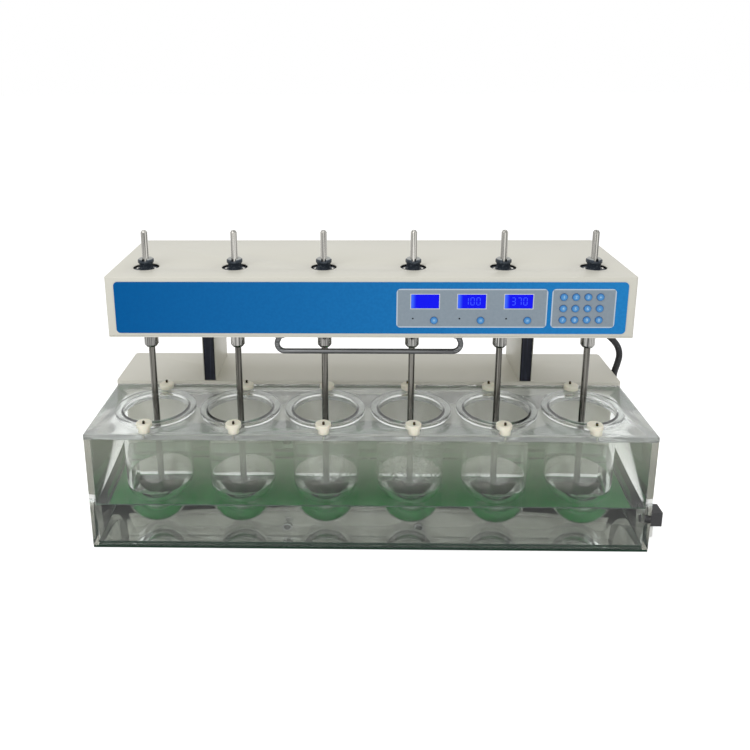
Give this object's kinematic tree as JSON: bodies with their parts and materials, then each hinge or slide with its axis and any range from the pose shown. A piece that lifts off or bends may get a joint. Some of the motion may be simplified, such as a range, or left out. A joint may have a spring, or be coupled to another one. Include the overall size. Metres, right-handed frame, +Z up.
{
  "type": "dissolution tester",
  "caption": "Bench dissolution tester: glass vessels in a clear water bath, cabinet and columns behind, and a lifting drive head with paddle stirrers, displays and keypad.",
  "frame": {"origin": "on the bench under the middle of the row of vessels, on the bath's underside", "axes": "+X along the row towards the keypad end, +Y back towards the cabinet, +Z up"},
  "size_m": [0.89, 0.308, 0.49],
  "materials": {
    "clear_sheet": "clear polished",
    "vessel_glass": "clear",
    "cream_nylon": "turned",
    "beige_paint": "satin",
    "navy_strip": "satin",
    "dark_plastic": "moulded",
    "conduit_black": "satin",
    "belt_rubber": "matte",
    "panel_blue": "printed film",
    "display_blue": "lit",
    "key_blue": "satin",
    "bright_bar": "polished",
    "stainless": "turned",
    "motor_grey": "satin"
  },
  "bodies": {
    "stand": {"bath_tank": "clear_sheet", "bath_cover": "clear_sheet", "glass_vessels": "vessel_glass", "drain_fitting": "dark_plastic", "base_cabinet": "beige_paint", "cabinet_base": "beige_paint", "columns": "beige_paint", "column_strips": "navy_strip", "circulation_heater": "stainless", "mains_inlet": "dark_plastic", "cable_conduit": "conduit_black"},
    "head": {"head_cover": "beige_paint", "head_floor": "beige_paint", "lift_posts": "stainless", "front_panel": "panel_blue", "displays": "display_blue", "lift_handle": "bright_bar", "drive_motor": "motor_grey", "drive_belts": "belt_rubber", "spindle_bearings": "stainless"},
    "motor_pulley": {"motor_pulley": "stainless"},
    "spindle_1": {"spindle_1": "stainless"},
    "stirrer_1": {"stirrer_1": "stainless"},
    "spindle_2": {"spindle_2": "stainless"},
    "stirrer_2": {"stirrer_2": "stainless"},
    "spindle_3": {"spindle_3": "stainless"},
    "stirrer_3": {"stirrer_3": "stainless"},
    "spindle_4": {"spindle_4": "stainless"},
    "stirrer_4": {"stirrer_4": "stainless"},
    "spindle_5": {"spindle_5": "stainless"},
    "stirrer_5": {"stirrer_5": "stainless"},
    "spindle_6": {"spindle_6": "stainless"},
    "stirrer_6": {"stirrer_6": "stainless"},
    "front_cam_1": {"front_cam_1": "cream_nylon"},
    "front_cam_2": {"front_cam_2": "cream_nylon"},
    "front_cam_3": {"front_cam_3": "cream_nylon"},
    "front_cam_4": {"front_cam_4": "cream_nylon"},
    "front_cam_5": {"front_cam_5": "cream_nylon"},
    "front_cam_6": {"front_cam_6": "cream_nylon"},
    "rear_cam_1": {"rear_cam_1": "cream_nylon"},
    "rear_cam_2": {"rear_cam_2": "cream_nylon"},
    "rear_cam_3": {"rear_cam_3": "cream_nylon"},
    "rear_cam_4": {"rear_cam_4": "cream_nylon"},
    "rear_cam_5": {"rear_cam_5": "cream_nylon"},
    "rear_cam_6": {"rear_cam_6": "cream_nylon"},
    "keypad_key_1": {"keypad_key_1": "key_blue"},
    "keypad_key_2": {"keypad_key_2": "key_blue"},
    "keypad_key_3": {"keypad_key_3": "key_blue"},
    "keypad_key_4": {"keypad_key_4": "key_blue"},
    "keypad_key_5": {"keypad_key_5": "key_blue"},
    "keypad_key_6": {"keypad_key_6": "key_blue"},
    "keypad_key_7": {"keypad_key_7": "key_blue"},
    "keypad_key_8": {"keypad_key_8": "key_blue"},
    "keypad_key_9": {"keypad_key_9": "key_blue"},
    "keypad_key_10": {"keypad_key_10": "key_blue"},
    "keypad_key_11": {"keypad_key_11": "key_blue"},
    "keypad_key_12": {"keypad_key_12": "key_blue"},
    "function_key_1": {"function_key_1": "key_blue"},
    "function_key_2": {"function_key_2": "key_blue"},
    "function_key_3": {"function_key_3": "key_blue"}
  },
  "joints": [
    {"name": "head_lift", "type": "slide", "parent": "stand", "child": "head", "axis": [0, 0, 1], "range_m": [0, 0.17], "deforming": ["cable_conduit"]},
    {"name": "motor_spin", "type": "hinge", "parent": "head", "child": "motor_pulley", "pos_m": [0, 0.092, 0.4], "axis": [0, 0, 1], "continuous": true},
    {"name": "spindle_1_spin", "type": "hinge", "parent": "head", "child": "spindle_1", "pos_m": [-0.34, 0, 0.4], "axis": [0, 0, 1], "continuous": true},
    {"name": "stirrer_1_slide", "type": "slide", "parent": "spindle_1", "child": "stirrer_1", "axis": [0, 0, 1], "range_m": [-0.012, 0.17]},
    {"name": "spindle_2_spin", "type": "hinge", "parent": "head", "child": "spindle_2", "pos_m": [-0.204, 0, 0.4], "axis": [0, 0, 1], "continuous": true},
    {"name": "stirrer_2_slide", "type": "slide", "parent": "spindle_2", "child": "stirrer_2", "axis": [0, 0, 1], "range_m": [-0.012, 0.17]},
    {"name": "spindle_3_spin", "type": "hinge", "parent": "head", "child": "spindle_3", "pos_m": [-0.068, 0, 0.4], "axis": [0, 0, 1], "continuous": true},
    {"name": "stirrer_3_slide", "type": "slide", "parent": "spindle_3", "child": "stirrer_3", "axis": [0, 0, 1], "range_m": [-0.012, 0.17]},
    {"name": "spindle_4_spin", "type": "hinge", "parent": "head", "child": "spindle_4", "pos_m": [0.068, 0, 0.4], "axis": [0, 0, 1], "continuous": true},
    {"name": "stirrer_4_slide", "type": "slide", "parent": "spindle_4", "child": "stirrer_4", "axis": [0, 0, 1], "range_m": [-0.012, 0.17]},
    {"name": "spindle_5_spin", "type": "hinge", "parent": "head", "child": "spindle_5", "pos_m": [0.204, 0, 0.4], "axis": [0, 0, 1], "continuous": true},
    {"name": "stirrer_5_slide", "type": "slide", "parent": "spindle_5", "child": "stirrer_5", "axis": [0, 0, 1], "range_m": [-0.012, 0.17]},
    {"name": "spindle_6_spin", "type": "hinge", "parent": "head", "child": "spindle_6", "pos_m": [0.34, 0, 0.4], "axis": [0, 0, 1], "continuous": true},
    {"name": "stirrer_6_slide", "type": "slide", "parent": "spindle_6", "child": "stirrer_6", "axis": [0, 0, 1], "range_m": [-0.012, 0.17]},
    {"name": "front_cam_1_turn", "type": "hinge", "parent": "stand", "child": "front_cam_1", "pos_m": [-0.34, -0.073, 0.2], "axis": [0, 0, -1], "range_deg": [0, 180]},
    {"name": "front_cam_2_turn", "type": "hinge", "parent": "stand", "child": "front_cam_2", "pos_m": [-0.204, -0.073, 0.2], "axis": [0, 0, -1], "range_deg": [0, 180]},
    {"name": "front_cam_3_turn", "type": "hinge", "parent": "stand", "child": "front_cam_3", "pos_m": [-0.068, -0.073, 0.2], "axis": [0, 0, -1], "range_deg": [0, 180]},
    {"name": "front_cam_4_turn", "type": "hinge", "parent": "stand", "child": "front_cam_4", "pos_m": [0.068, -0.073, 0.2], "axis": [0, 0, -1], "range_deg": [0, 180]},
    {"name": "front_cam_5_turn", "type": "hinge", "parent": "stand", "child": "front_cam_5", "pos_m": [0.204, -0.073, 0.2], "axis": [0, 0, -1], "range_deg": [0, 180]},
    {"name": "front_cam_6_turn", "type": "hinge", "parent": "stand", "child": "front_cam_6", "pos_m": [0.34, -0.073, 0.2], "axis": [0, 0, -1], "range_deg": [0, 180]},
    {"name": "rear_cam_1_turn", "type": "hinge", "parent": "stand", "child": "rear_cam_1", "pos_m": [-0.34, 0.073, 0.2], "axis": [0, 0, -1], "range_deg": [0, 180]},
    {"name": "rear_cam_2_turn", "type": "hinge", "parent": "stand", "child": "rear_cam_2", "pos_m": [-0.204, 0.073, 0.2], "axis": [0, 0, -1], "range_deg": [0, 180]},
    {"name": "rear_cam_3_turn", "type": "hinge", "parent": "stand", "child": "rear_cam_3", "pos_m": [-0.068, 0.073, 0.2], "axis": [0, 0, -1], "range_deg": [0, 180]},
    {"name": "rear_cam_4_turn", "type": "hinge", "parent": "stand", "child": "rear_cam_4", "pos_m": [0.068, 0.073, 0.2], "axis": [0, 0, -1], "range_deg": [0, 180]},
    {"name": "rear_cam_5_turn", "type": "hinge", "parent": "stand", "child": "rear_cam_5", "pos_m": [0.204, 0.073, 0.2], "axis": [0, 0, -1], "range_deg": [0, 180]},
    {"name": "rear_cam_6_turn", "type": "hinge", "parent": "stand", "child": "rear_cam_6", "pos_m": [0.34, 0.073, 0.2], "axis": [0, 0, -1], "range_deg": [0, 180]},
    {"name": "keypad_key_1_press", "type": "slide", "parent": "head", "child": "keypad_key_1", "axis": [0, 1, 0], "range_m": [0, 0.0008], "stiffness_N_per_m": 600, "springref_m": -0.0004},
    {"name": "keypad_key_2_press", "type": "slide", "parent": "head", "child": "keypad_key_2", "axis": [0, 1, 0], "range_m": [0, 0.0008], "stiffness_N_per_m": 600, "springref_m": -0.0004},
    {"name": "keypad_key_3_press", "type": "slide", "parent": "head", "child": "keypad_key_3", "axis": [0, 1, 0], "range_m": [0, 0.0008], "stiffness_N_per_m": 600, "springref_m": -0.0004},
    {"name": "keypad_key_4_press", "type": "slide", "parent": "head", "child": "keypad_key_4", "axis": [0, 1, 0], "range_m": [0, 0.0008], "stiffness_N_per_m": 600, "springref_m": -0.0004},
    {"name": "keypad_key_5_press", "type": "slide", "parent": "head", "child": "keypad_key_5", "axis": [0, 1, 0], "range_m": [0, 0.0008], "stiffness_N_per_m": 600, "springref_m": -0.0004},
    {"name": "keypad_key_6_press", "type": "slide", "parent": "head", "child": "keypad_key_6", "axis": [0, 1, 0], "range_m": [0, 0.0008], "stiffness_N_per_m": 600, "springref_m": -0.0004},
    {"name": "keypad_key_7_press", "type": "slide", "parent": "head", "child": "keypad_key_7", "axis": [0, 1, 0], "range_m": [0, 0.0008], "stiffness_N_per_m": 600, "springref_m": -0.0004},
    {"name": "keypad_key_8_press", "type": "slide", "parent": "head", "child": "keypad_key_8", "axis": [0, 1, 0], "range_m": [0, 0.0008], "stiffness_N_per_m": 600, "springref_m": -0.0004},
    {"name": "keypad_key_9_press", "type": "slide", "parent": "head", "child": "keypad_key_9", "axis": [0, 1, 0], "range_m": [0, 0.0008], "stiffness_N_per_m": 600, "springref_m": -0.0004},
    {"name": "keypad_key_10_press", "type": "slide", "parent": "head", "child": "keypad_key_10", "axis": [0, 1, 0], "range_m": [0, 0.0008], "stiffness_N_per_m": 600, "springref_m": -0.0004},
    {"name": "keypad_key_11_press", "type": "slide", "parent": "head", "child": "keypad_key_11", "axis": [0, 1, 0], "range_m": [0, 0.0008], "stiffness_N_per_m": 600, "springref_m": -0.0004},
    {"name": "keypad_key_12_press", "type": "slide", "parent": "head", "child": "keypad_key_12", "axis": [0, 1, 0], "range_m": [0, 0.0008], "stiffness_N_per_m": 600, "springref_m": -0.0004},
    {"name": "function_key_1_press", "type": "slide", "parent": "head", "child": "function_key_1", "axis": [0, 1, 0], "range_m": [0, 0.0008], "stiffness_N_per_m": 600, "springref_m": -0.0004},
    {"name": "function_key_2_press", "type": "slide", "parent": "head", "child": "function_key_2", "axis": [0, 1, 0], "range_m": [0, 0.0008], "stiffness_N_per_m": 600, "springref_m": -0.0004},
    {"name": "function_key_3_press", "type": "slide", "parent": "head", "child": "function_key_3", "axis": [0, 1, 0], "range_m": [0, 0.0008], "stiffness_N_per_m": 600, "springref_m": -0.0004}
  ],
  "couplings": [
    {"joint": "motor_spin", "follows": "spindle_3_spin", "ratio": 2},
    {"joint": "spindle_1_spin", "follows": "spindle_3_spin", "ratio": 1},
    {"joint": "spindle_2_spin", "follows": "spindle_3_spin", "ratio": 1},
    {"joint": "spindle_4_spin", "follows": "spindle_3_spin", "ratio": 1},
    {"joint": "spindle_5_spin", "follows": "spindle_3_spin", "ratio": 1},
    {"joint": "spindle_6_spin", "follows": "spindle_3_spin", "ratio": 1}
  ]
}
